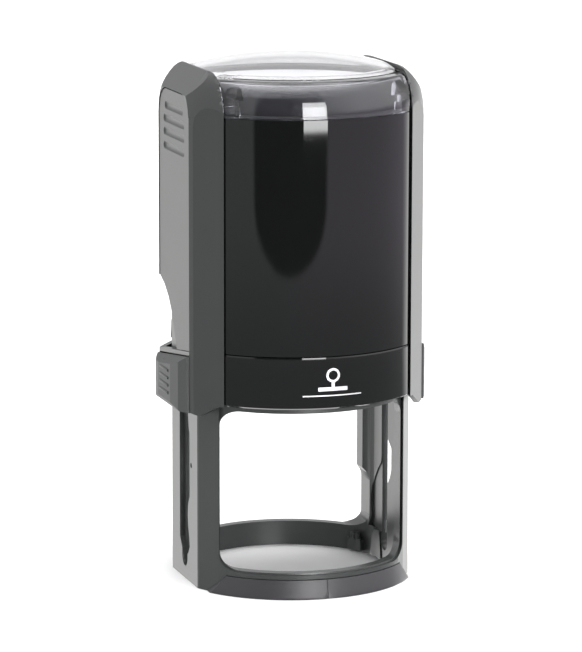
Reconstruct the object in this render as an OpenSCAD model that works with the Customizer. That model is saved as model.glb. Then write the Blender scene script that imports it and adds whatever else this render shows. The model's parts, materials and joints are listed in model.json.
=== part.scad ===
// Round self-inking stamp: a sliding cap, a die that flips on an axle, and a base with an ink pad.
// The base stands on z = 0, the axle runs along X, and the front faces -Y.

/* [Impression] */
// Radius of the rubber die that prints
die_r = 20.6; // [19.5:0.1:20.8]
// Height of the raised lines on the rubber die
relief_h = 0.8; // [0.4:0.1:1.2]
// Distance from the axle to the printing face
face_offset = 8; // [7.6:0.1:8.2]

/* [Travel] */
// Stroke of the cap from rest to the paper
stroke = 36; // [35:0.5:36]
// Inward travel of each lock button
button_travel = 1.2; // [0.6:0.1:1.3]

/* [Base] */
// Inner radius of the foot ring
ring_r_in = 22.7; // [22.4:0.1:23]
// Outer radius of the foot ring and the upper collar
ring_r_out = 25.5; // [25.2:0.1:25.6]
// Height of the foot ring
ring_h = 5.4; // [5:0.1:6]
// Distance from the centre to the outer face of a leg
leg_x = 23.64; // [23.4:0.02:23.7]
// Thickness of a leg
leg_t = 2.04; // [1.8:0.02:2.1]
// Half width of the flat outer face of a leg
leg_half = 9.7; // [9:0.1:10]
// Height of the collar's top edge
collar_top = 56.6; // [56:0.1:57]

/* [Cap] */
// Outer radius of the glossy panels
panel_r = 27.7; // [27.5:0.1:28]
// Thickness of the glossy panels
panel_t = 1.4; // [1.2:0.1:1.5]
// Half angle of a glossy panel
panel_half = 47.7; // [46:0.1:48]
// Bottom edge of the cap
cap_bottom = 41; // [40.5:0.1:42]
// Height where the lower band meets the panel
band_top = 52; // [51:0.1:53]
// Height where the panel meets the window cover
panel_top = 101.7; // [100:0.1:103]
// Highest point of the domed window
cap_top = 112.7; // [112:0.1:113]

/* [Fits] */
// Running clearance between sliding parts
gap = 0.3; // [0.25:0.01:0.35]
// Radial clearance between the axle and its bearings
axle_play = 0.05; // [0.02:0.01:0.1]
// Visible seam between fixed cap pieces
seam = 0.2; // [0.05:0.01:0.3]

/* [Hidden] */
$fn = 96;

// Axle
face_z = 52;
axle_z = face_z - face_offset;
axle_r = 1.9;
axle_half = 24.85;

// Legs
leg_in = leg_x - leg_t;
corner_angle = 54;
slot_half = axle_r + 0.1;
slot_rear = 3.7;
slot_step_z = 7;
slot_end_z = axle_z - stroke - 3.3;
recess_depth = 0.5;
lane_depth = 1.05;
strip_r_in = 24.99;
window_top = 39.6;
window_half_x = 20.1;
window_r = 3.4;
skin_top = 43.5;
skin_half_x = 20.5;
skin_r_in = 24.7;
knee_z = 20;

// Cap
panel_r_in = panel_r - panel_t;
wall_x = leg_x + gap;
wall_t = 0.95;
side_x = 25.75;
wing_x = 25.9;
wing_y = 11.85;
flank_x = 20.6;
flank_y = 19.15;
lip_half = 51;
lip_r = 25.85;
shelf_z = 49.24;
shelf_t = 0.8;
shelf_slope = 7.8;
opening_low = 50;
opening_high = 64.4;
top_edge_z = 110.2;
shoulder_z = 101.9;
shoulder_r = 23.4;
rim_z = 109.3;
side_high = 105.3;

// Window and card
dome_r = (pow(shoulder_r, 2) + pow(cap_top - rim_z, 2)) / (2 * (cap_top - rim_z));
window_t = 1.2;
deck_z = 105;
deck_t = 1.6;
skirt_low = 96;
card_z = deck_z + deck_t + 0.4;
card_rim_r = 22.4;

// Cartridge
pad_low = face_z + gap;
pad_high = 55.9;
tray_top = 57.2;
tray_x = leg_in - 0.3;
grip_r = 25.8;
grip_low = 50.6;
grip_y = 10.4;
bridge_low = tray_top + 0.2;
bridge_top = 59.2;

// Spring
spring_r = 6.4;
spring_wire = 0.45;
spring_turns = 8;
spring_low = bridge_top;
spring_high = deck_z - 1.2;

// Lock buttons
button_x = 28.15;
button_half = 11.3;
button_low = 38.5;
button_high = shelf_z - 0.25;
button_wall = 1.15;
tongue_low = 45.6;
tongue_high = 47.6;
tongue_y = 2.15;
tongue_w = 1.3;
button_spring_z = 40.6;
pad_change_drop = 7;

black = [0.07, 0.07, 0.075];
dark = [0.17, 0.17, 0.175];
grey = [0.26, 0.26, 0.27];
steel = [0.72, 0.72, 0.74];
pad_ink = [0.12, 0.13, 0.22];
rubber_red = [0.45, 0.2, 0.2];
smoke = [0.35, 0.35, 0.38, 0.5];
white = [0.92, 0.92, 0.93];

// ---- Shared shapes ----

// A point at an angle from the front (-Y), turning towards +X
function polar(r, a) = [r * sin(a), -r * cos(a)];

// Sector of plan between two angles from the front
module sector(a0, a1, r = 60) {
    polygon([[0, 0], for (i = [0:8]) polar(r, a0 + (a1 - a0) * i / 8)]);
}

// A curved wall from r_in to r_out, within half degrees of the front
module arc_wall(r_in, r_out, half, z0, z1) {
    translate([0, 0, z0])
        linear_extrude(z1 - z0)
            intersection() {
                difference() {
                    circle(r_out);
                    circle(r_in);
                }
                sector(-half, half);
            }
}

// A rod along X
module rod_x(r, x0, x1, y = 0, z = 0) {
    translate([x0, y, z]) rotate([0, 90, 0]) cylinder(r = r, h = x1 - x0);
}

// A box given by its two corners
module box(a, b) {
    translate(a) cube(b - a);
}

// Outer plan of the base: a circle with flat legs and chamfered corners
module base_plan() {
    c = polar(ring_r_out, corner_angle);
    side = [[c[0], c[1]], [leg_x, -leg_half], [leg_x, leg_half], [c[0], -c[1]]];
    intersection() {
        circle(ring_r_out);
        polygon([[0, -40], each side, [0, 40], for (i = [3:-1:0]) [-side[i][0], side[i][1]]]);
    }
}

// Inner plan of the base: the ring's bore, flattened by the two legs
module bore_plan() {
    intersection() {
        circle(ring_r_in);
        square([2 * leg_in, 60], center = true);
    }
}

// ---- Base ----

// Foot ring, two legs and the collar that carries the pad cartridge, moulded as one piece
module base_frame() {
    color(dark) difference() {
        union() {
            difference() {
                linear_extrude(collar_top) difference() {
                    base_plan();
                    bore_plan();
                }
                windows();
                box([-40, leg_half + 0.35, opening_low], [40, 40, 80]);
            }
            for (m = [0, 1]) mirror([m, 0, 0]) {
                ring_boss();
                foot_block();
            }
        }
        for (m = [0, 1]) mirror([m, 0, 0]) leg_cuts();
        strip_seat();
        mirror([0, 1, 0]) strip_seat();
    }
}

// All cuts in the leg on +X: axle slot, tongue lane, recess, catch pockets and the inner cam track
module leg_cuts() {
    through_0 = leg_in - 1;
    through_1 = leg_x + 1;
    // Slot for the axle, open through the leg and rounded at both ends
    along_x(through_0, through_1) slot_outline();
    // Lane behind the slot that the button's tongue runs down
    along_x(leg_x - lane_depth, through_1) lane_outline();
    // Shallow recess in front of the slot
    along_x(leg_x - recess_depth, through_1) recess_outline();
    // Small tooling hole through the floor of the recess
    rod_x(0.55, through_0, through_1, -3.2, 25.3);
    // Pockets that catch the button's tongue at rest and at the pad change height
    for (drop = [0, pad_change_drop])
        box([leg_x - 1.6, 0, tongue_low - drop - 0.35],
            [through_1, slot_rear, tongue_high - drop + 0.35]);
    // Bulge of the cam track on the inner face, and the shallow sweep behind it
    along_x(through_0, leg_in + 0.84) track_bulge();
    along_x(through_0, leg_in + 0.25) track_sweep();
}

// Extrudes an outline in Y and Z from x0 to x1
module along_x(x0, x1) {
    translate([x0, 0, 0]) rotate([90, 0, 90]) linear_extrude(x1 - x0) children();
}

// Front bulge of the cam track in Y and Z, beside the axle slot
module track_bulge() {
    polygon([[0, 15.5], [-2, 18], [-3.4, 19.6], [-4.6, 22], [-4.9, 24.2], [-4.3, 26.4], [-2, 28], [0, 29]]);
}

// Rear sweep of the cam track in Y and Z
module track_sweep() {
    polygon([[0, 6.5], [8.6, 6.5], [7.6, 9.2], [8, 12.3], [7.6, 15.6], [6.3, 17.8], [4.5, 19.9], [2.4, 21.8],
             [1.8, 23.5], [0, 24]]);
}

// Outline of the axle slot in Y and Z
module slot_outline() {
    w = slot_half;
    top = axle_z + 0.1;
    translate([0, slot_end_z]) circle(w);
    translate([0, top]) circle(w);
    translate([-w, slot_end_z]) square([2 * w, top - slot_end_z]);
}

// Outline of the tongue lane in Y and Z
module lane_outline() {
    polygon([[0, slot_step_z - 0.8], [slot_half, slot_step_z - 0.8], [slot_rear, slot_step_z + 1.4],
             [slot_rear, cap_bottom - 1], [0, cap_bottom - 1]]);
}

// Outline of the recess in Y and Z
module recess_outline() {
    polygon([[0, slot_step_z - 1.2], [-2.4, slot_step_z - 1.2], [-3.7, slot_step_z + 0.6], [-3.4, 9.7],
             [-2.6, 12], [-2.3, 14.4], [-2.5, 16.4], [-3.3, 18.1], [-5.1, 20.1], [-6.7, 22], [-7.5, 25],
             [-7.3, 27.4], [-6.2, 29.7], [-4.7, 31.2], [-3.3, 33.3], [-2.7, 36.4], [-2.6, 43], [0, 43]]);
}

// Openings between the legs, with the outer skin cut back further and the rear widened below the knee
module windows() {
    opening_y(-40, 40, window_half_x, ring_h, window_top);
    opening_y(0, 40, window_half_x + 1, ring_h, knee_z);
    difference() {
        opening_y(-40, 40, skin_half_x, ring_h - 0.35, skin_top);
        cylinder(r = skin_r_in, h = skin_top + 1);
    }
}

// A rounded opening in X and Z, cut along Y from y0 to y1
module opening_y(y0, y1, half, z0, z1) {
    r = window_r;
    translate([0, y1, 0]) rotate([90, 0, 0]) linear_extrude(y1 - y0) {
        translate([-half + r, z0]) square([2 * half - 2 * r, z1 - z0]);
        translate([-half, z0 + r]) square([2 * half, z1 - z0 - 2 * r]);
        for (x = [-half + r, half - r]) for (z = [z0 + r, z1 - r]) translate([x, z]) circle(r);
    }
}

// Small boss inside the ring near a rear leg, with a cross-shaped peg on it
module ring_boss() {
    c = polar(22.2, 121);
    difference() {
        translate([c[0], c[1], 0.4]) {
            cylinder(r = 2, h = 2.6);
            translate([-0.35, -1.3, 0]) cube([0.7, 2.6, 4]);
            translate([-1.3, -0.35, 0]) cube([2.6, 0.7, 4]);
        }
        outside_base();
    }
}

// Flared block inside the rear foot of a leg
module foot_block() {
    difference() {
        along_x(18, leg_in + 0.4) polygon([[1.6, 0.4], [6.2, 0.4], [5.2, 6.6], [2.4, 6.6]]);
        outside_base();
    }
}

// Space that the parts inside the ring keep out of: beyond the ring, and where the die comes down
module outside_base() {
    difference() {
        translate([0, 0, -1]) cylinder(r = 40, h = 20);
        translate([0, 0, -2]) cylinder(r = ring_r_out - 0.8, h = 22);
    }
    translate([0, 0, -1]) cylinder(r = 21.4, h = 20);
}

// Outline of a foot strip from the front, wider at the bottom
module strip_outline(margin) {
    polygon([[-23.01 - margin, -1], [23.01 + margin, -1], [19.3 + margin, 4.2], [-19.3 - margin, 4.2]]);
}

// Extrudes a front outline in X and Z over the front half
module over_front() {
    rotate([90, 0, 0]) linear_extrude(40) children();
}

// Shallow seat in the foot ring behind a foot strip
module strip_seat() {
    difference() {
        over_front() strip_outline(0.03);
        translate([0, 0, -2]) cylinder(r = strip_r_in - 0.02, h = 8);
    }
}

// Flared strip along the front or rear of the foot ring, with a centre mark
module foot_strip() {
    difference() {
        intersection() {
            rotate_extrude()
                polygon([[strip_r_in, 0], [26.4, 0], [26.35, 0.6], [25.62, 4.05], [strip_r_in, 4.05]]);
            over_front() strip_outline(0);
        }
        // Centre mark: a fine groove up the middle
        intersection() {
            translate([-0.12, -30, -1]) cube([0.24, 10, 8]);
            rotate_extrude() polygon([[26.15, -1], [30, -1], [30, 6], [25, 6], [25.37, 4.05], [26.1, 0.6]]);
        }
    }
}

module front_foot_strip() {
    color(grey) foot_strip();
}

module rear_foot_strip() {
    color(grey) mirror([0, 1, 0]) foot_strip();
}

// Bridge over the cartridge: ties the legs together and carries the return spring
module pad_bridge() {
    color(dark) difference() {
        union() {
            intersection() {
                translate([0, 0, bridge_low]) cylinder(r = 24.6, h = bridge_top - bridge_low);
                box([-leg_x, -22, 0], [leg_x, 22, 80]);
            }
            // Feet that stand on the tops of the legs
            for (side = [-1, 1])
                translate([side * (leg_in + leg_t / 2), 0, (collar_top + bridge_low) / 2 + 0.1])
                    cube([leg_t, 2 * leg_half - 1, bridge_low - collar_top + 0.2], center = true);
            translate([0, 0, bridge_top]) cylinder(r = 4.6, h = 2.6);
        }
        translate([0, 0, bridge_low - 1]) cylinder(r = 3.2, h = 8);
        for (a = [45:90:315])
            rotate(a) translate([15, 0, bridge_low - 1]) cylinder(r = 3, h = 6);
    }
}

// Plan of the cartridge: round in front, straight between the legs, and round at the rear
module tray_plan(inset = 0) {
    intersection() {
        circle(ring_r_in - 0.5 - inset);
        translate([-tray_x + inset, -30]) square([2 * tray_x - 2 * inset, 60]);
    }
}

// Cartridge that holds the ink pad, with a curved grip at the rear
module cartridge_tray() {
    color(black) {
        difference() {
            translate([0, 0, face_z + 0.6]) linear_extrude(tray_top - face_z - 0.6) tray_plan();
            translate([0, 0, face_z]) linear_extrude(pad_high - face_z) tray_plan(0.9);
        }
        // Tongue that carries the grip over the rear of the collar
        intersection() {
            translate([0, 0, opening_low + 0.6]) cylinder(r = grip_r - 0.8, h = tray_top - opening_low - 0.6);
            difference() {
                box([-16, 15, 0], [16, 30, 80]);
                translate([0, 0, -1]) cylinder(r = ring_r_in - 0.6, h = 80);
            }
        }
        difference() {
            mirror([0, 1, 0]) difference() {
                rotate_extrude() polygon([[24.3, grip_low], [grip_r, grip_low], [grip_r - 0.1, 54.6],
                                          [grip_r - 0.5, 56], [24.3, 56]]);
                translate([-30, -grip_y, 0]) cube([60, 60, 80]);
            }
            // Finger grooves across the grip
            for (x = [-6:2:6]) translate([x, 26.3, 50]) cylinder(r = 0.75, h = 10, $fn = 24);
        }
    }
}

// Foam pad soaked with ink, facing down at the die
module ink_pad() {
    color(pad_ink) translate([0, 0, pad_low]) linear_extrude(pad_high - pad_low) tray_plan(1.1);
}

// ---- Spring ----

// A wire coil about Z, closed by flat end rings, made of straight prisms between computed points
module coil(r, wire, turns, z0, z1, per_turn) {
    steps = turns * per_turn;
    rise = (z1 - z0 - 2 * wire) / steps;
    sides = 6;
    function ring(i) = [for (k = [0:sides - 1])
        let (a = 360 * i / per_turn, b = 360 * k / sides, q = r + wire * cos(b))
        [q * cos(a), q * sin(a), z0 + wire + rise * i + wire * sin(b)]];
    points = [for (i = [0:steps]) each ring(i)];
    sides_faces = [for (i = [0:steps - 1]) for (k = [0:sides - 1])
        let (n = (k + 1) % sides)
        [i * sides + k, i * sides + n, (i + 1) * sides + n, (i + 1) * sides + k]];
    first = [for (k = [sides - 1:-1:0]) k];
    last = [for (k = [0:sides - 1]) steps * sides + k];
    polyhedron(points, [first, each sides_faces, last]);
}

module return_spring() {
    color(steel) coil(spring_r, spring_wire, spring_turns, spring_low, spring_high, 24);
}

// Cup under the deck that keeps the return spring central
module spring_cup() {
    color(grey) difference() {
        translate([0, 0, deck_z - 5.2]) cylinder(r = 8.6, h = 5.2);
        translate([0, 0, deck_z - 6]) cylinder(r = 7.3, h = 4.8);
    }
}

// ---- Cap ----

// Shoulder profile of the cap's top, as points of a quarter ellipse
function shoulder(r_low, r_high, z_low, z_high, n = 10) =
    [for (i = [0:n]) [r_high + (r_low - r_high) * cos(90 * i / n), z_low + (z_high - z_low) * sin(90 * i / n)]];

// Inner structure of the cap: a deck on a skirt, which the panels and wings are welded to
module top_deck() {
    step_r = 22.6;
    color(dark) difference() {
        intersection() {
            union() {
                translate([0, 0, skirt_low]) cylinder(r = panel_r_in - 0.1, h = panel_top - skirt_low);
                translate([0, 0, skirt_low]) cylinder(r = step_r, h = deck_z + deck_t - skirt_low);
                // Low rim round the index card
                translate([0, 0, deck_z]) cylinder(r = card_rim_r, h = deck_t + 1.4);
            }
            box([-flank_x + 0.2, -30, 0], [flank_x - 0.2, 30, 120]);
        }
        translate([0, 0, deck_z + deck_t]) cylinder(r = card_rim_r - 1.2, h = 4);
        translate([0, 0, skirt_low - 1]) cylinder(r = 24.6, h = panel_top - 0.4 - skirt_low);
        translate([0, 0, skirt_low - 1]) cylinder(r = 20, h = deck_z + 1 - skirt_low);
        corners() box([17.05, 17, 90], [19.35, 18.2, 110]);
    }
}

// Repeats a shape of the +X +Y corner in all four corners
module corners() {
    for (mx = [0, 1]) for (my = [0, 1]) mirror([mx, 0, 0]) mirror([0, my, 0]) children();
}

// Glossy curved panel between the wings
module panel(z0, z1, r = panel_r) {
    arc_wall(panel_r_in - 0.04, r, panel_half, z0, z1);
}

// Thin lip inside a panel that closes the seams beside it
module seam_lip(z0, z1) {
    arc_wall(lip_r, panel_r_in - 0.02, lip_half, z0, z1);
}

module front_panel() {
    color(black) {
        panel(band_top + seam, panel_top - seam);
        seam_lip(band_top + seam, skirt_low - 0.1);
    }
}

module rear_panel() {
    color(black) mirror([0, 1, 0]) {
        panel(opening_high, panel_top - seam);
        seam_lip(opening_high, skirt_low - 0.1);
    }
}

// Lower band, a little proud of the panel, with a rounded lip at its top
module band(z1) {
    difference() {
        union() {
            panel(cap_bottom, z1 - 0.3, panel_r + 0.06);
            panel(cap_bottom, z1);
            seam_lip(cap_bottom, z1);
        }
        // Chamfer round the bottom edge
        rotate_extrude() polygon([[panel_r - 0.5, cap_bottom - 1], [panel_r + 2, cap_bottom - 1],
                                  [panel_r + 2, cap_bottom + 1.5], [panel_r - 0.5, cap_bottom]]);
    }
}

module front_band() {
    color(black) band(band_top);
}

module rear_band() {
    color(black) mirror([0, 1, 0]) band(opening_low);
}

// Outer plan of one wing
module wing_plan() {
    polygon([[flank_x, -flank_y], [wing_x, -wing_y], [wing_x, wing_y], [flank_x, flank_y]]);
}

// Plan of one wing's two flanks
module flank_plan() {
    inner = 11.45;
    for (m = [0, 1]) mirror([0, m]) difference() {
        polygon([[flank_x, -flank_y], [wing_x, -wing_y], [wing_x, -inner], [wall_x + 0.2, -inner],
                 [wall_x + 0.2, -12.4], [flank_x, -17.15]]);
        circle(panel_r_in);
    }
}

// Envelope of the wings: a round shoulder, with a sloping facet above each side panel
module wing_envelope() {
    intersection() {
        rotate_extrude()
            polygon([[0, 30], [28.3, 30], each shoulder(28.3, 22.9, 99.5, top_edge_z), [0, top_edge_z]]);
        linear_extrude(130) wing_plan();
        translate([0, 40, 0]) rotate([90, 0, 0]) linear_extrude(80)
            polygon([[10, 30], [40, 30], [40, side_high - 0.1], [wing_x, side_high - 0.1],
                     [flank_x + 0.5, top_edge_z], [10, top_edge_z]]);
    }
}

// Height of the shelf's top face at a depth
function shelf_top(y) = shelf_z + shelf_t - y * tan(shelf_slope);

// Finger notch at the rear of each side, in Y and Z
module notch_outline() {
    polygon([[40, shelf_top(11.6)], [11.6, shelf_top(11.6)], [-1.6, shelf_top(-1.6)], [-1.0, 51.8],
             [0.2, 54.2], [2.2, 57.8], [4.6, 60.7], [7.6, 62.9], [11, opening_high], [40, opening_high]]);
}

module notch() {
    along_x(10, 50) notch_outline();
}

// Space below a plane that meets the Z axis at z and falls towards the rear
module below_slope(z) {
    translate([0, 0, z]) rotate([-shelf_slope, 0, 0]) translate([0, -40, -40]) cube([60, 80, 40]);
}

// Side shell of the cap on +X: two flanks, an inner wall with the axle bearing, and a top facet
module wing() {
    difference() {
        intersection() {
            union() {
                linear_extrude(130) flank_plan();
                // Inner wall behind the side panel, and its narrow foot with the bearing
                difference() {
                    box([wall_x, -11.6, 40], [wall_x + wall_t, 11.6, 108]);
                    below_slope(shelf_z);
                }
                box([wall_x, -9.4, cap_bottom - 2], [wall_x + wall_t, 9.4, shelf_z + 2]);
                // Shelf over the lock button
                difference() {
                    intersection() {
                        box([wall_x, -11.6, 40], [wing_x, 11.6, 60]);
                        below_slope(shelf_z + shelf_t);
                    }
                    below_slope(shelf_z);
                }
                top_block();
            }
            wing_envelope();
        }
        notch();
        // Bearing for the axle and hole for the button's tongue
        rod_x(axle_r + axle_play, wall_x - 1, wing_x + 5, 0, axle_z);
        box([wall_x - 1, tongue_y - 0.25, tongue_low - 0.25],
            [wing_x + 1, tongue_y + tongue_w + 0.25, tongue_high + 0.25]);
        // Slanted lower ends of the flanks
        for (m = [0, 1]) mirror([0, m, 0]) flank_end();
    }
}

// Roof from the side facet to the window cover, open below and recessed for the side panel
module top_block() {
    low = side_high - 0.6;
    difference() {
        translate([0, 40, 0]) rotate([90, 0, 0]) linear_extrude(80)
            polygon([[flank_x, top_edge_z + 1], [flank_x, top_edge_z - 3.6], [flank_x + 1.2, top_edge_z - 3.6],
                     [wall_x + wall_t - 0.9, low], [wall_x + wall_t, low], [wall_x + wall_t, 90],
                     [wing_x + 1, 90], [wing_x + 1, top_edge_z + 1]]);
        side_recess();
    }
}

// Space that the side panel fills
module side_recess() {
    along_x(wall_x + wall_t, wing_x + 4) side_outline(0);
}

// Slanted cut at the bottom of the front flank on +X, rising towards the band
module flank_end() {
    length = norm([wing_x - flank_x, flank_y - wing_y]);
    translate([wing_x, -wing_y, 0]) rotate(atan2(wing_y - flank_y, flank_x - wing_x))
        translate([0, 10, 0]) rotate([90, 0, 0]) linear_extrude(20)
            polygon([[-4, 0], [length + 4, 0], [length + 4, 41.1], [7.3, 40.8], [2.6, 38.2], [0, 38.6],
                     [-4, 38.5]]);
}

module left_wing() {
    color(dark) mirror([1, 0, 0]) wing();
}

module right_wing() {
    color(dark) wing();
}

// Outline of the side panel in Y and Z, with rounded upper corners
module side_outline(inset) {
    y = 11.45 - inset;
    z0 = shelf_z - 4;
    z1 = side_high - inset;
    corner = 5.6;
    union() {
        translate([-y, z0]) square([2 * y, z1 - z0 - corner]);
        translate([-y + corner, z0]) square([2 * y - 2 * corner, z1 - z0]);
        for (s = [-1, 1]) translate([s * (y - corner), z1 - corner]) circle(corner);
    }
}

// Side panel with four grip grooves near its top
module side_panel() {
    difference() {
        along_x(wall_x + wall_t + 0.02, side_x) side_outline(seam);
        below_slope(shelf_z + shelf_t + 0.1);
        notch();
        for (z = [93, 96, 98.8, 101.6])
            grip_groove(z, z > 101 ? 6 : 7);
    }
}

// A shallow groove along Y with round ends
module grip_groove(z, half) {
    r = 1.2;
    translate([side_x + 0.85, 0, z]) {
        rotate([90, 0, 0]) cylinder(r = r, h = 2 * half, center = true);
        for (y = [-half, half]) translate([0, y, 0]) sphere(r = r);
    }
}

module left_side_panel() {
    color(grey) mirror([1, 0, 0]) side_panel();
}

module right_side_panel() {
    color(grey) side_panel();
}

// ---- Lock buttons ----

// Plan of a button: a flat face that curves back on each side
module button_plan(inset) {
    curve = [[25.92, button_half], [26.4, 11.2], [27.55, 8.6], [button_x, 4.6]];
    polygon([[20, inset - button_half], for (p = curve) [p[0] - inset, inset - p[1]],
             for (i = [3:-1:0]) [curve[i][0] - inset, curve[i][1] - inset], [20, button_half - inset]]);
}

// Hollow button with ribs on its face, a bevel along its sloping top and a tongue that catches the leg
module lock_button() {
    difference() {
        intersection() {
            translate([0, 0, button_low]) linear_extrude(20) button_plan(0);
            // Bevel along the bottom edge
            translate([0, 40, 0]) rotate([90, 0, 0]) linear_extrude(80)
                polygon([[20, button_low], [27.4, button_low], [button_x, 39.6], [button_x, 60], [20, 60]]);
            // Sloping top with a bevel along its outer edge
            translate([0, 0, button_high]) rotate([-shelf_slope, 0, 0])
                translate([0, 40, 0]) rotate([90, 0, 0]) linear_extrude(80)
                    polygon([[20, -20], [button_x, -20], [button_x, -1.7], [26.3, 0], [20, 0]]);
        }
        // Hollow back, cut further away where the cap's inner wall stands
        intersection() {
            translate([0, 0, 30]) linear_extrude(30) button_plan(button_wall);
            below_slope(button_high - 1);
        }
        box([10, -20, 30], [wall_x + 1.35, 20, 60]);
        box([10, -9.8, 30], [wall_x + wall_t + button_travel + 0.1, 9.8, 60]);
    }
    // Ribs for the finger
    for (z = [41.4:1.6:46.2])
        translate([button_x - 0.25, 0, z]) rotate([90, 0, 0])
            cylinder(r = 0.45, h = 6.4, center = true, $fn = 24);
    // Tongue that passes through the inner wall
    box([wall_x + 0.05, tongue_y, tongue_low], [button_x - 0.6, tongue_y + tongue_w, tongue_high]);
}

module left_lock_button() {
    color(dark) mirror([1, 0, 0]) lock_button();
}

module right_lock_button() {
    color(dark) lock_button();
}

// Small coil that pushes a button out
module button_spring() {
    translate([wall_x + wall_t, 0, button_spring_z]) rotate([0, 90, 0])
        coil(1.3, 0.2, 3, 0, button_x - button_wall - wall_x - wall_t, 12);
}

module left_button_spring() {
    color(steel) mirror([1, 0, 0]) button_spring();
}

module right_button_spring() {
    color(steel) button_spring();
}

// ---- Window ----

// Printed sample impression under the window
module index_card() {
    color(white) intersection() {
        translate([0, 0, card_z - 0.35]) cylinder(r = 20.8, h = 0.3);
        box([-flank_x + 0.6, -30, 0], [flank_x - 0.6, 30, 120]);
    }
}

// Clear cover over the top, with a domed lens and a snap block in each corner
module window_cover() {
    color(smoke) difference() {
        union() {
            intersection() {
                difference() {
                    cover_solid(0);
                    cover_solid(window_t);
                }
                box([-flank_x + 0.15, -30, 0], [flank_x - 0.15, 30, 120]);
            }
            intersection() {
                cover_solid(0.4);
                corners() snap_block();
            }
            corners() box([17.3, 17.3, panel_top - 2.2], [19.1, 17.9, panel_top + 1]);
        }
        // Groove round the rim of the lens
        translate([0, 0, rim_z]) rotate_extrude() translate([shoulder_r + 0.15, -0.1]) circle(0.32, $fn = 24);
    }
}

// Stepped block that stiffens a snap tongue
module snap_block() {
    box([16.9, 16.9, panel_top + 0.1], [20.1, 20, panel_top + 1.9]);
    box([17.3, 17.3, panel_top + 1.8], [20.1, 20, panel_top + 3.4]);
    box([16.4, 16.4, panel_top + 3.3], [20.1, 20, panel_top + 5.6]);
}

// Outer solid of the cover, or the space inside it for a given wall
module cover_solid(wall) {
    sphere_z = cap_top - dome_r;
    low = wall > 0 ? panel_top - 1 : panel_top;
    intersection() {
        translate([0, 0, sphere_z]) sphere(r = dome_r - wall, $fn = 200);
        rotate_extrude()
            polygon([[0, low], [panel_r - wall, low],
                     each shoulder(panel_r - wall, shoulder_r - wall, shoulder_z, rim_z - wall),
                     [shoulder_r - wall, 120], [0, 120]]);
    }
}

// ---- Die ----

// Carrier of the printing die: a disc on two lugs, turning with the axle
module die_carrier() {
    plate_z = axle_z + face_offset - 5.1;
    color(dark) difference() {
        union() {
            translate([0, 0, plate_z]) cylinder(r = 21.1, h = 1.6);
            rod_x(3.6, -20.4, 20.4, 0, axle_z);
            for (x = [-20.4, -7, 5.4, 18.8])
                box([x, -6, axle_z - 1], [x + 1.6, 6, plate_z + 0.1]);
        }
        rod_x(axle_r, -30, 30, 0, axle_z);
    }
}

module axle() {
    color(steel) rod_x(axle_r, -axle_half, axle_half, 0, axle_z);
}

// Resilient layer between the carrier and the rubber
module die_backing() {
    color(grey) translate([0, 0, axle_z + face_offset - 3.5]) cylinder(r = die_r, h = 1.2);
}

// Rubber die with a border ring and plain bars in place of lettering
module rubber_die() {
    floor_z = axle_z + face_offset - relief_h;
    color(rubber_red) {
        translate([0, 0, face_z - 2.3]) cylinder(r = die_r, h = 2.3 - relief_h);
        translate([0, 0, floor_z]) {
            linear_extrude(relief_h) {
                difference() {
                    circle(die_r - 0.2);
                    circle(die_r - 1.2);
                }
                difference() {
                    circle(die_r - 2.2);
                    circle(die_r - 2.8);
                }
                for (i = [-1:1])
                    translate([0, 5 * i]) square([i == 0 ? 24 : 18, 2.2], center = true);
            }
        }
    }
}

// Follower on the end of the carrier that runs along the cam track inside a leg
module cam_follower() {
    color(white) difference() {
        rod_x(1.2, 20.4, 20.85, -4, axle_z);
        rod_x(0.4, 20, 22, -4, axle_z);
    }
}

module left_cam_follower() {
    mirror([1, 0, 0]) cam_follower();
}

module right_cam_follower() {
    cam_follower();
}

base_frame();
front_foot_strip();
rear_foot_strip();
pad_bridge();
cartridge_tray();
ink_pad();
return_spring();
spring_cup();
top_deck();
front_panel();
rear_panel();
front_band();
rear_band();
left_wing();
right_wing();
left_side_panel();
right_side_panel();
left_lock_button();
right_lock_button();
left_button_spring();
right_button_spring();
index_card();
window_cover();
die_carrier();
axle();
die_backing();
rubber_die();
left_cam_follower();
right_cam_follower();
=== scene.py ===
"""Looks of a round self-inking stamp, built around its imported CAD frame. Units are metres."""
import json
import math

import bmesh
import bpy
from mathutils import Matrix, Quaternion, Vector


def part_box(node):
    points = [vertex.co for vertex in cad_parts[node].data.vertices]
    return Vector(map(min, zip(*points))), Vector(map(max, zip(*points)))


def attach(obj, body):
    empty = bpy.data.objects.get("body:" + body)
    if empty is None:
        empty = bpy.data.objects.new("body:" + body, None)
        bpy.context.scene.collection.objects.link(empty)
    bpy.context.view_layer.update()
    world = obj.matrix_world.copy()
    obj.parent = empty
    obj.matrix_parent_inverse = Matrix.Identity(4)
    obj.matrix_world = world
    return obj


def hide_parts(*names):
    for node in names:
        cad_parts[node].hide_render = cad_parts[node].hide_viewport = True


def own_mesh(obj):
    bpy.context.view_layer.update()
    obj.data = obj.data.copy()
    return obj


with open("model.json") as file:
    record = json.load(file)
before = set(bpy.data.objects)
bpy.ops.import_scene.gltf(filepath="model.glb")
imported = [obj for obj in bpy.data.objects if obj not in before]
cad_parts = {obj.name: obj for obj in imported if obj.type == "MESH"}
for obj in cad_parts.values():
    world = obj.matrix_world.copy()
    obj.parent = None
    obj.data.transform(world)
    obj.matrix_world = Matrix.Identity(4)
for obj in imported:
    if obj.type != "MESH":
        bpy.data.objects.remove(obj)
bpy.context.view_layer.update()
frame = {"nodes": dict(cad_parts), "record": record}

MM = 0.001
NODES = frame["nodes"]
scene = bpy.context.scene
scene.view_settings.view_transform = "Standard"

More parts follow.
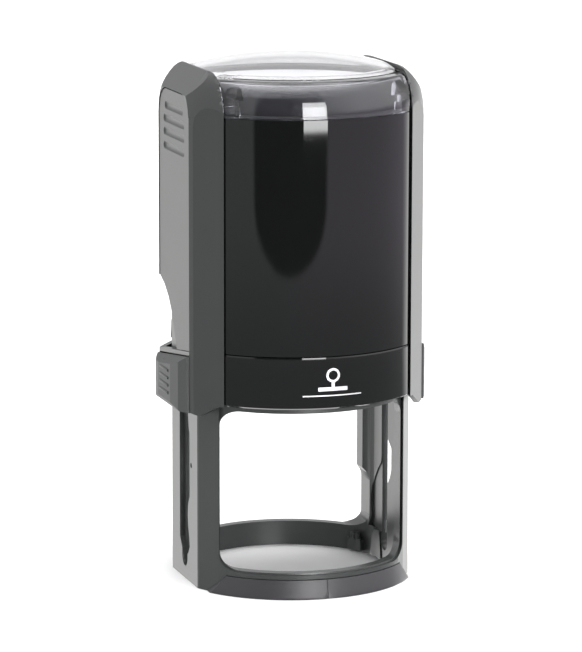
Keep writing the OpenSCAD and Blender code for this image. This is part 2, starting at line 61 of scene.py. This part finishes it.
# ---- Camera: a long lens a little above the stamp and to its left ----
VIEW_AZIMUTH = math.radians(-17.8)
VIEW_ELEVATION = math.radians(10.54)
VIEW_DISTANCE = 0.7984
VIEW_TARGET = Vector((0, 0, 0.05355))
VIEW_ROLL = 0.002
LENS_MM = 205.8
LENS_SHIFT = (0.0012, 0.00094)


def direction(azimuth, elevation):
    """Unit vector from the stamp, with azimuth 0 towards -Y and growing towards +X."""
    flat = math.cos(elevation)
    return Vector((math.sin(azimuth) * flat, -math.cos(azimuth) * flat, math.sin(elevation)))


def make_camera():
    data = bpy.data.cameras.new("camera")
    data.lens = LENS_MM
    data.clip_start = 0.01
    camera = bpy.data.objects.new("camera", data)
    scene.collection.objects.link(camera)
    back = direction(VIEW_AZIMUTH, VIEW_ELEVATION)
    camera.location = VIEW_TARGET + back * VIEW_DISTANCE
    turn = (-back).to_track_quat("-Z", "Y") @ Quaternion((0, 0, 1), VIEW_ROLL)
    camera.rotation_euler = turn.to_euler()
    data.shift_x, data.shift_y = LENS_SHIFT
    scene.camera = camera


# ---- Node graph helpers ----
class Graph:
    """Short calls for building a node tree."""

    def __init__(self, tree):
        self.tree = tree
        self.tree.nodes.clear()

    def add(self, kind, **settings):
        node = self.tree.nodes.new(kind)
        for key, value in settings.items():
            setattr(node, key, value)
        return node

    def set(self, socket, value):
        if isinstance(value, bpy.types.NodeSocket):
            self.tree.links.new(value, socket)
        elif value is not None:
            socket.default_value = value

    def math(self, operation, a, b=None, c=None, clamp=False):
        node = self.add("ShaderNodeMath", operation=operation, use_clamp=clamp)
        for socket, value in zip(node.inputs, (a, b, c)):
            self.set(socket, value)
        return node.outputs[0]

    def dot(self, vector, other):
        node = self.add("ShaderNodeVectorMath", operation="DOT_PRODUCT")
        self.set(node.inputs[0], vector)
        self.set(node.inputs[1], other)
        return node.outputs["Value"]

    def ramp(self, value, low, high, out_low=0.0, out_high=1.0):
        node = self.add("ShaderNodeMapRange", interpolation_type="SMOOTHSTEP")
        for name, item in zip(("Value", "From Min", "From Max", "To Min", "To Max"),
                              (value, low, high, out_low, out_high)):
            self.set(node.inputs[name], item)
        return node.outputs["Result"]

    def mix(self, factor, a, b):
        node = self.add("ShaderNodeMix", data_type="RGBA")
        self.set(node.inputs["Factor"], factor)
        self.set(node.inputs["A"], a)
        self.set(node.inputs["B"], b)
        return node.outputs["Result"]

    def noise(self, vector, scale, detail=2.0, roughness=0.5):
        node = self.add("ShaderNodeTexNoise")
        for name, item in zip(("Vector", "Scale", "Detail", "Roughness"),
                              (vector, scale, detail, roughness)):
            self.set(node.inputs[name], item)
        return node.outputs["Fac"]

    def voronoi(self, vector, scale):
        node = self.add("ShaderNodeTexVoronoi", feature="F1")
        self.set(node.inputs["Vector"], vector)
        self.set(node.inputs["Scale"], scale)
        return node.outputs["Distance"]

    def bump(self, height, strength, distance):
        node = self.add("ShaderNodeBump")
        for name, item in zip(("Height", "Strength", "Distance"), (height, strength, distance)):
            self.set(node.inputs[name], item)
        return node.outputs["Normal"]

    def stretch(self, vector, scale):
        node = self.add("ShaderNodeMapping")
        self.set(node.inputs["Vector"], vector)
        self.set(node.inputs["Scale"], scale)
        return node.outputs["Vector"]

    def tint(self, shader, factor, a, b):
        """Sets the base colour between a and b."""
        self.set(shader.inputs["Base Color"], self.mix(factor, a, b))

    def between(self, value, fade_in, fade_out):
        """1 between the two fades and 0 outside them."""
        return self.math("MULTIPLY", self.ramp(value, *fade_in), self.ramp(value, *fade_out))

    def length(self, a, b):
        """Square root of the sum of two squares."""
        squares = [self.math("POWER", part, 2.0) for part in (a, b)]
        return self.math("SQRT", self.math("ADD", *squares))


def rgba(colour):
    return (*colour, 1.0)


def shade(colour, factor):
    return rgba([c * factor for c in colour])


def new_material(name):
    material = bpy.data.materials.new(name)
    material.use_nodes = True
    graph = Graph(material.node_tree)
    shader = graph.add("ShaderNodeBsdfPrincipled")
    output = graph.add("ShaderNodeOutputMaterial")
    graph.set(output.inputs["Surface"], shader.outputs["BSDF"])
    place = graph.add("ShaderNodeTexCoord").outputs["Object"]
    return material, graph, shader, place


def moulded_plastic(name, colour, roughness, grain=0.3 * MM, depth=0.0, mottle=0.08, flow=0.03):
    """Injection-moulded plastic: spark-eroded grain and faint flow marks, in colour and gloss."""
    material, graph, shader, place = new_material(name)
    fine = graph.noise(place, 1 / grain, 3.0, 0.6)
    broad = graph.noise(place, 1 / (9 * MM), 3.0, 0.55)
    graph.tint(shader, broad, shade(colour, 1 - mottle), shade(colour, 1 + mottle))
    uneven = graph.math("ADD", *[graph.math("MULTIPLY", part, flow) for part in (fine, broad)])
    graph.set(shader.inputs["Roughness"], graph.math("ADD", uneven, roughness - flow, clamp=True))
    if depth:
        graph.set(shader.inputs["Normal"], graph.bump(fine, 1.0, depth))
    return material


def polished_black(name, colour):
    """High-gloss black with hairline wipe marks and the slight waviness of a polished mould."""
    material, graph, shader, place = new_material(name)
    graph.set(shader.inputs["Base Color"], rgba(colour))
    hair = graph.noise(graph.stretch(place, (1.0, 1.0, 14.0)), 1 / (2.2 * MM), 4.0, 0.7)
    scratch = graph.ramp(hair, 0.62, 0.78)
    graph.set(shader.inputs["Roughness"], graph.math("MULTIPLY_ADD", scratch, 0.05, 0.018))
    wave = graph.noise(graph.stretch(place, (1.0, 1.0, 0.35)), 1 / (14 * MM), 1.0)
    graph.set(shader.inputs["Normal"], graph.bump(wave, 1.0, 0.012 * MM))
    return material


def clear_smoke(name, lens, shoulder, lens_r):
    """Clear styrene, smoky on the shoulder, with a faint haze of handling marks."""
    material, graph, shader, place = new_material(name)
    across = graph.add("ShaderNodeSeparateXYZ")
    graph.set(across.inputs[0], place)
    radius = graph.length(*[graph.math("ABSOLUTE", across.outputs[i]) for i in (0, 1)])
    colour = graph.mix(graph.ramp(radius, lens_r, lens_r + 0.3 * MM), rgba(lens), rgba(shoulder))
    shader.inputs["Transmission Weight"].default_value = 1.0
    shader.inputs["IOR"].default_value = 1.5
    haze = graph.noise(place, 1 / (5 * MM), 4.0, 0.6)
    graph.tint(shader, graph.ramp(haze, 0.4, 0.9, 0.0, 0.08), colour, rgba((0.8, 0.8, 0.82)))
    graph.set(shader.inputs["Roughness"], graph.ramp(haze, 0.45, 0.85, 0.015, 0.05))
    return material


def coated_card(name):
    """White coated card with fine fibres."""
    material, graph, shader, place = new_material(name)
    fibre = graph.noise(graph.stretch(place, (1.0, 3.0, 1.0)), 1 / (0.35 * MM), 3.0)
    graph.tint(shader, fibre, rgba((0.9, 0.9, 0.91)), rgba((0.94, 0.94, 0.95)))
    shader.inputs["Roughness"].default_value = 0.6
    graph.set(shader.inputs["Normal"], graph.bump(fibre, 0.4, 0.01 * MM))
    return material


def ink_foam(name, colour):
    """Open-cell foam, wetter in its pores, with painted shade darkening them."""
    material, graph, shader, place = new_material(name)
    cells = graph.voronoi(place, 1 / (0.55 * MM))
    pores_and_painted_shade = graph.ramp(cells, 0.15, 0.6)
    # Painted shade: the colour darkens in the pores, the low spots of the bump, in place of shade
    # in the cells
    graph.tint(shader, pores_and_painted_shade, shade(colour, 0.45), rgba(colour))
    graph.set(shader.inputs["Roughness"], graph.ramp(pores_and_painted_shade, 0.0, 1.0, 0.25, 0.7))
    graph.set(shader.inputs["Normal"], graph.bump(pores_and_painted_shade, 0.8, 0.15 * MM))
    return material


def drawn_steel(name, colour, roughness=0.22):
    """Drawn wire or ground rod: metal with fine lines of tooling."""
    material, graph, shader, place = new_material(name)
    shader.inputs["Metallic"].default_value = 1.0
    lines = graph.noise(graph.stretch(place, (9.0, 1.0, 1.0)), 1 / (0.8 * MM), 3.0)
    graph.tint(shader, lines, shade(colour, 0.86), rgba(colour))
    graph.set(shader.inputs["Roughness"], graph.math("MULTIPLY_ADD", lines, 0.12, roughness - 0.06))
    return material


def moulded_rubber(name, colour, roughness=0.55):
    """Rubber with a dusty matte skin."""
    material, graph, shader, place = new_material(name)
    dust = graph.noise(place, 1 / (0.5 * MM), 4.0, 0.65)
    graph.tint(shader, dust, shade(colour, 0.8), shade(colour, 1.25))
    graph.set(shader.inputs["Roughness"], graph.math("MULTIPLY_ADD", dust, 0.2, roughness - 0.1))
    graph.set(shader.inputs["Normal"], graph.bump(dust, 0.5, 0.03 * MM))
    return material


def silver_foil(name):
    """Hot-stamped silver foil with slight pinholes."""
    material, graph, shader, place = new_material(name)
    shader.inputs["Metallic"].default_value = 0.6
    flake = graph.noise(place, 1 / (0.25 * MM), 3.0)
    graph.tint(shader, flake, rgba((0.62, 0.62, 0.63)), rgba((0.85, 0.85, 0.86)))
    graph.set(shader.inputs["Roughness"], graph.math("MULTIPLY_ADD", flake, 0.2, 0.35))
    return material


SHELL_GRAIN = 0.2 * MM
LENS_RADIUS = 23.2 * MM

MATERIALS = {
    "base_plastic": moulded_plastic("base_plastic", (0.036, 0.039, 0.038), 0.34, depth=0.004 * MM),
    "foot_strip": moulded_plastic("foot_strip", (0.029, 0.028, 0.031), 0.42, grain=0.22 * MM,
                                  depth=0.012 * MM, flow=0.08),
    "cartridge_plastic": moulded_plastic("cartridge_plastic", (0.03, 0.03, 0.031), 0.35,
                                         depth=0.003 * MM),
    "inner_plastic": moulded_plastic("inner_plastic", (0.06, 0.06, 0.063), 0.45, depth=0.004 * MM),
    "carrier_plastic": moulded_plastic("carrier_plastic", (0.04, 0.04, 0.041), 0.4,
                                       depth=0.004 * MM),
    "follower_plastic": moulded_plastic("follower_plastic", (0.7, 0.69, 0.66), 0.4),
    "wing_matte": moulded_plastic("wing_matte", (0.029, 0.03, 0.03), 0.37, grain=SHELL_GRAIN,
                                  depth=0.008 * MM),
    "side_matte": moulded_plastic("side_matte", (0.036, 0.037, 0.037), 0.42, grain=SHELL_GRAIN,
                                  depth=0.010 * MM),
    "button_matte": moulded_plastic("button_matte", (0.035, 0.037, 0.037), 0.55, grain=SHELL_GRAIN,
                                    depth=0.006 * MM),
    "gloss_black": polished_black("gloss_black", (0.003, 0.0033, 0.0033)),
    "smoke_clear": clear_smoke("smoke_clear", (0.99, 0.99, 1.0), (0.6, 0.6, 0.64), LENS_RADIUS),
    "card_paper": coated_card("card_paper"),
    "ink_foam": ink_foam("ink_foam", (0.02, 0.022, 0.06)),
    "spring_steel": drawn_steel("spring_steel", (0.6, 0.6, 0.62)),
    "axle_steel": drawn_steel("axle_steel", (0.62, 0.62, 0.64), 0.18),
    "backing_foam": moulded_rubber("backing_foam", (0.1, 0.1, 0.105), 0.7),
    "die_rubber": moulded_rubber("die_rubber", (0.16, 0.03, 0.03)),
}
FOIL = silver_foil("silver_foil")


# ---- CAD nodes ----
NO_BEVEL = {"window_cover", "index_card", "return_spring", "left_button_spring",
            "right_button_spring", "ink_pad"}
SOFT_EDGE = {"left_side_panel", "right_side_panel"}
WELD_DISTANCE = 0.002 * MM
SHARP_ANGLE = math.radians(35)
EDGE_ROUND = 0.12 * MM
SOFT_EDGE_ROUND = 0.22 * MM


def dress_cad_nodes():
    for part in frame["record"]["subparts"]:
        node = NODES[part["node"]]
        node.data.materials.clear()
        node.data.materials.append(MATERIALS[part["material_slot"]])
        weld = node.modifiers.new("weld", "WELD")
        weld.merge_threshold = WELD_DISTANCE
        if part["node"] in NO_BEVEL:
            continue
        bevel = node.modifiers.new("edge_round", "BEVEL")
        bevel.limit_method = "ANGLE"
        bevel.angle_limit = SHARP_ANGLE
        bevel.width = SOFT_EDGE_ROUND if part["node"] in SOFT_EDGE else EDGE_ROUND
        bevel.segments = 2
        bevel.use_clamp_overlap = True
        # Keeps large faces evenly shaded up to their rounded edges
        even = node.modifiers.new("even_shading", "WEIGHTED_NORMAL")
        even.keep_sharp = True


# ---- New pieces ----
def piece_from(name, build, material_name, body, smooth=True):
    """Makes a mesh piece with build(bmesh), gives it a material and lets it ride on a body."""
    mesh = bpy.data.meshes.new(name)
    shape = bmesh.new()
    build(shape)
    bmesh.ops.recalc_face_normals(shape, faces=shape.faces[:])
    shape.to_mesh(mesh)
    shape.free()
    for face in mesh.polygons:
        face.use_smooth = smooth
    piece = bpy.data.objects.new(name, mesh)
    scene.collection.objects.link(piece)
    mesh.materials.append(MATERIALS.get(material_name, FOIL))
    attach(piece, body)
    return piece


def sweep(shape, centres, frames, radius, sides):
    """A round tube along centres. frames holds two unit vectors across the tube at each centre."""
    rings = []
    for centre, (u, v) in zip(centres, frames):
        ring = []
        for k in range(sides):
            turn = 2 * math.pi * k / sides
            outward = u * math.cos(turn) + v * math.sin(turn)
            ring.append(shape.verts.new(centre + outward * radius))
        rings.append(ring)
    for low, high in zip(rings, rings[1:]):
        for k in range(sides):
            n = (k + 1) % sides
            shape.faces.new((low[k], low[n], high[n], high[k]))
    shape.faces.new(rings[0][::-1])
    shape.faces.new(rings[-1])


AXIS_X, AXIS_Z = 0, 2
CLOSED_TURNS = 1.0
STEPS_PER_TURN = 40
WIRE_SIDES = 12
RETURN_TURNS, RETURN_WIRE = 7, 0.45 * MM
BUTTON_TURNS, BUTTON_WIRE = 2, 0.2 * MM


def coil_spring(name, node, body, axis, turns, wire):
    """A compression spring with closed end turns in the space of its CAD node.
    """
    low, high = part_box(node)
    middle = (low + high) / 2
    across = 1 if axis == AXIS_X else 0
    radius = (high[across] - low[across]) / 2 - wire
    along = Vector((axis == AXIS_X, 0, axis == AXIS_Z))
    side = Vector((0, 1, 0)) if axis == AXIS_X else Vector((1, 0, 0))
    other = along.cross(side)
    length = high[axis] - low[axis]
    start = middle - along * length / 2
    total = turns + 2 * CLOSED_TURNS
    steps = int(total * STEPS_PER_TURN)
    centres, frames = [], []

    def height(turn):
        """Closed end turns rise by one wire, and the others share the rest."""
        end_rise = wire * 2
        free = length - 2 * wire - 2 * end_rise
        if turn < CLOSED_TURNS:
            return wire + end_rise * turn / CLOSED_TURNS
        if turn > total - CLOSED_TURNS:
            return length - wire - end_rise * (total - turn) / CLOSED_TURNS
        return wire + end_rise + free * (turn - CLOSED_TURNS) / turns

    for i in range(steps + 1):
        turn = total * i / steps
        angle = 2 * math.pi * turn
        outward = side * math.cos(angle) + other * math.sin(angle)
        centres.append(start + along * height(turn) + outward * radius)
        frames.append((outward, along))

    def build(shape):
        sweep(shape, centres, frames, wire, WIRE_SIDES)

    piece = piece_from(name, build, "spring_steel", body)
    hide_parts(node)
    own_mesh(piece)


def make_springs():
    """Coiled wire in place of the CAD return spring and the two button springs."""
    coil_spring("return_spring_coil", "return_spring", "base", AXIS_Z, RETURN_TURNS,
                RETURN_WIRE)
    for hand, sign in (("left", -1), ("right", 1)):
        coil_spring(f"{hand}_button_coil", f"{hand}_button_spring", "cap", AXIS_X,
                    BUTTON_TURNS, BUTTON_WIRE)


PAD_ROLL = 0.7 * MM
PAD_CROWN = 0.12 * MM
# Share of the pad's half depth over which the crown rises
CROWN_SHARE = 0.4
ROLL_STEPS = 6
CROWN_STEPS = 4


def rounded_outline(half_x, radius, count=72):
    """Plan of the pad: a circle cut straight at two sides."""
    points = []
    for i in range(count):
        angle = 2 * math.pi * i / count
        x, y = radius * math.cos(angle), radius * math.sin(angle)
        points.append((max(-half_x, min(half_x, x)), y))
    return points


def make_ink_pad():
    """Foam pad with softly rolled edges and a slight crown towards the die."""
    low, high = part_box("ink_pad")
    outline = rounded_outline(high.x, high.y)
    # Rows of (inset from the outline, height), from the top round the lower edge to the crown
    rows = [(0.0, high.z)]
    for i in range(ROLL_STEPS + 1):
        turn = math.pi / 2 * i / ROLL_STEPS
        rows.append((PAD_ROLL * (1 - math.cos(turn)), low.z + PAD_ROLL - PAD_ROLL * math.sin(turn)))
    for k in range(1, CROWN_STEPS + 1):
        drop = PAD_CROWN * math.sin(math.pi / 2 * k / CROWN_STEPS)
        rows.append((PAD_ROLL + CROWN_SHARE * high.y * k / CROWN_STEPS, low.z - drop))

    def build(shape):
        loops = []
        for inset, z in rows:
            scale_x, scale_y = (high.x - inset) / high.x, (high.y - inset) / high.y
            loops.append([shape.verts.new((x * scale_x, y * scale_y, z)) for x, y in outline])
        count = len(outline)
        for upper, lower in zip(loops, loops[1:]):
            for k in range(count):
                n = (k + 1) % count
                shape.faces.new((upper[k], upper[n], lower[n], lower[k]))
        shape.faces.new(loops[0])
        shape.faces.new(loops[-1][::-1])

    piece = piece_from("ink_pad_foam", build, "ink_foam", "base")
    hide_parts("ink_pad")


def curved_patch(shape, radius, centre_angle, z, outline, thickness):
    """A flat outline (x along the arc, y up), laid on a cylinder as a thin raised print."""
    def place(x, y, r):
        angle = centre_angle + x / radius
        return (r * math.sin(angle), -r * math.cos(angle), z + y)

    outer = [shape.verts.new(place(x, y, radius + thickness)) for x, y in outline]
    inner = [shape.verts.new(place(x, y, radius)) for x, y in outline]
    shape.faces.new(outer)
    shape.faces.new(inner[::-1])
    count = len(outline)
    for k in range(count):
        n = (k + 1) % count
        shape.faces.new((outer[k], inner[k], inner[n], outer[n]))


def ring_quads(outer_r, inner_r, centre, count=40):
    """Outlines of the short quads that make a flat ring."""
    quads = []
    for k in range(count):
        a, b = 2 * math.pi * k / count, 2 * math.pi * (k + 1) / count
        quads.append([(centre[0] + r * math.cos(t), centre[1] + r * math.sin(t))
                      for r, t in ((outer_r, a), (outer_r, b), (inner_r, b), (inner_r, a))])
    return quads


def bar(x0, x1, y0, y1, parts=8):
    """Outlines of a straight bar, cut into parts so that it bends round the cylinder."""
    step = (x1 - x0) / parts
    edges = [(x0 + step * k, x0 + step * (k + 1)) for k in range(parts)]
    return [[(a, y0), (b, y0), (b, y1), (a, y1)] for a, b in edges]


FOIL_THICKNESS = 0.02 * MM
MARK_TURN = math.radians(1)
MARK_LIFT = 0.4 * MM


def make_foil_mark():
    """Plain silver mark on the lower band: a small ring over a bar, and a fine line."""
    low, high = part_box("front_band")
    radius = -low.y
    middle = (low.z + high.z) / 2 + MARK_LIFT
    outlines = ring_quads(1.5 * MM, 1.0 * MM, (0.0, 1.3 * MM))
    outlines += bar(-3.2 * MM, 3.2 * MM, -2.0 * MM, -1.2 * MM)
    outlines += bar(-0.35 * MM, 0.35 * MM, -1.2 * MM, -0.2 * MM, 2)
    outlines += bar(-6.5 * MM, 6.5 * MM, -3.1 * MM, -2.85 * MM, 16)

    def build(shape):
        for outline in outlines:
            curved_patch(shape, radius, MARK_TURN, middle, outline, FOIL_THICKNESS)
        bmesh.ops.remove_doubles(shape, verts=shape.verts[:], dist=0.001 * MM)

    piece_from("foil_mark", build, "foil", "cap", smooth=False)


# ---- Stage, surround and light ----
FLOOR_HALF = 3.0


def make_stage():
    mesh = bpy.data.meshes.new("floor")
    corners = [(x * FLOOR_HALF, y * FLOOR_HALF, 0) for x, y in ((-1, -1), (1, -1), (1, 1), (-1, 1))]
    mesh.from_pydata(corners, [], [(0, 1, 2, 3)])
    floor = bpy.data.objects.new("floor", mesh)
    scene.collection.objects.link(floor)
    material, graph, shader, place = new_material("floor")
    tone = graph.noise(place, 3.0)
    graph.tint(shader, tone, rgba((0.86, 0.86, 0.86)), rgba((0.89, 0.89, 0.89)))
    shader.inputs["Roughness"].default_value = 0.9
    mesh.materials.append(material)
    floor.visible_glossy = False


# Light from each region of the surround, as linear colour
FRONT_LEFT, FRONT_RIGHT = (0.66, 0.72, 0.69), (0.82, 0.76, 0.86)
UPPER_LEFT, UPPER_RIGHT = (0.95, 0.95, 0.96), (1.8, 1.8, 1.82)
FLOOR_EDGE = (0.42, 0.43, 0.43)
CAMERA_GAP = (0.1, 0.1, 0.1)
REAR_LOW, REAR_LOW_RIGHT = (2.1, 2.1, 2.08), (3.3, 3.3, 3.27)
REAR_MIDDLE, REAR_HIGH = (1.1, 1.1, 1.11), (0.85, 0.85, 0.86)
OVERHEAD = (3.4, 3.4, 3.42)
SOFT_WINDOW = (14.0, 14.0, 14.1)
BACKDROP = (1.0, 1.0, 1.0)

# Where the regions meet, in degrees. Turns grow to the right from the camera's side, and rises
# upwards from the horizon. Each pair says where a fade starts and where it ends.
FRONT_TURN = (-20, 25)
UPPER_TURN = (20, 70)
UPPER_RISE = (0, 6)
FLOOR_EDGE_RISE = (-11.5, -8.5)
REAR_RIGHT_TURN, REAR_LEFT_TURN = (116, 132), (-86, -128)
REAR_BRIGHT_TURN = ((60, 95), (165, 130))
REAR_LOW_RISE = (-3, 3)
REAR_HIGH_RISE = (12, 16)
OVERHEAD_RISE = (48, 66)
WINDOW_TURN = ((10.3, 10.9), (32.0, 31.4))
WINDOW_RISE = ((-7.58, -7.5), (26, 22))

# The gap at the camera: straight sides down to GAP_FOOT, and half an ellipse below it
GAP_FOOT = -8.6
GAP_HALF_TURN, GAP_DEPTH = 31.0, 1.15
GAP_FADE = (0.94, 1.1)


def front_light(graph, turn, rise):
    """Soft front sides, slightly violet at the right, with a dim gap where the camera stands."""
    soft = graph.mix(graph.ramp(turn, *FRONT_TURN), rgba(FRONT_LEFT), rgba(FRONT_RIGHT))
    upper = graph.mix(graph.ramp(turn, *UPPER_TURN), rgba(UPPER_LEFT), rgba(UPPER_RIGHT))
    soft = graph.mix(graph.ramp(rise, *UPPER_RISE), soft, upper)
    soft = graph.mix(graph.ramp(rise, *FLOOR_EDGE_RISE), rgba(FLOOR_EDGE), soft)
    below = graph.math("MAXIMUM", graph.math("SUBTRACT", GAP_FOOT, rise), 0.0)
    sink = graph.math("DIVIDE", below, GAP_DEPTH)
    wide = graph.math("DIVIDE", turn, GAP_HALF_TURN)
    gap = graph.ramp(graph.length(wide, sink), *GAP_FADE)
    return graph.mix(gap, rgba(CAMERA_GAP), soft)


def rear_light(graph, turn, rise):
    """Bright behind the stamp, strongest low at the right."""
    bright = graph.between(turn, *REAR_BRIGHT_TURN)
    low = graph.mix(bright, rgba(REAR_LOW), rgba(REAR_LOW_RIGHT))
    high = graph.mix(graph.ramp(rise, *REAR_HIGH_RISE), rgba(REAR_MIDDLE), rgba(REAR_HIGH))
    return graph.mix(graph.ramp(rise, *REAR_LOW_RISE), low, high)


def make_world():
    """Studio surround for light and reflections, with a plain white backdrop for the camera."""
    world = bpy.data.worlds.new("studio")
    scene.world = world
    world.use_nodes = True
    graph = Graph(world.node_tree)
    place = graph.add("ShaderNodeTexCoord").outputs["Generated"]
    along = graph.dot(place, tuple(direction(VIEW_AZIMUTH, 0)))
    across = graph.dot(place, tuple(direction(VIEW_AZIMUTH + math.pi / 2, 0)))
    up = graph.dot(place, (0, 0, 1))
    turn = graph.math("MULTIPLY", graph.math("ARCTAN2", across, along), 180 / math.pi)
    rise = graph.math("MULTIPLY", graph.math("ARCSINE", up), 180 / math.pi)
    behind = graph.math("MAXIMUM", graph.ramp(turn, *REAR_RIGHT_TURN),
                        graph.ramp(turn, *REAR_LEFT_TURN))
    colour = graph.mix(behind, front_light(graph, turn, rise), rear_light(graph, turn, rise))
    colour = graph.mix(graph.ramp(rise, *OVERHEAD_RISE), colour, rgba(OVERHEAD))
    # Seen only in the shoulder and along the top of the front panel
    window = graph.math("MULTIPLY", graph.between(turn, *WINDOW_TURN),
                        graph.between(rise, *WINDOW_RISE))
    colour = graph.mix(window, colour, rgba(SOFT_WINDOW))
    lit = graph.add("ShaderNodeBackground")
    graph.set(lit.inputs["Color"], colour)
    seen = graph.add("ShaderNodeBackground")
    seen.inputs["Color"].default_value = rgba(BACKDROP)
    choose = graph.add("ShaderNodeMixShader")
    graph.set(choose.inputs["Fac"], graph.add("ShaderNodeLightPath").outputs["Is Camera Ray"])
    graph.set(choose.inputs[1], lit.outputs[0])
    graph.set(choose.inputs[2], seen.outputs[0])
    output = graph.add("ShaderNodeOutputWorld")
    graph.set(output.inputs["Surface"], choose.outputs[0])


TOP_BOX_PLACE = Vector((-0.25, -0.1, 0.9))
TOP_BOX_AIM = Vector((0, 0, 0.05))
TOP_BOX_SIDE = 0.6
TOP_BOX_POWER = 1.5


def make_top_box():
    """Soft box overhead, left out of the camera's view and of reflections."""
    data = bpy.data.lights.new("top_box", "AREA")
    data.shape = "RECTANGLE"
    data.size, data.size_y = TOP_BOX_SIDE, TOP_BOX_SIDE
    data.energy = TOP_BOX_POWER
    light = bpy.data.objects.new("top_box", data)
    scene.collection.objects.link(light)
    light.location = TOP_BOX_PLACE
    light.rotation_euler = (TOP_BOX_AIM - TOP_BOX_PLACE).to_track_quat("-Z", "Y").to_euler()
    light.visible_camera = False
    light.visible_glossy = False


make_camera()
make_stage()
make_world()
dress_cad_nodes()
make_top_box()
make_springs()
make_ink_pad()
make_foil_mark()
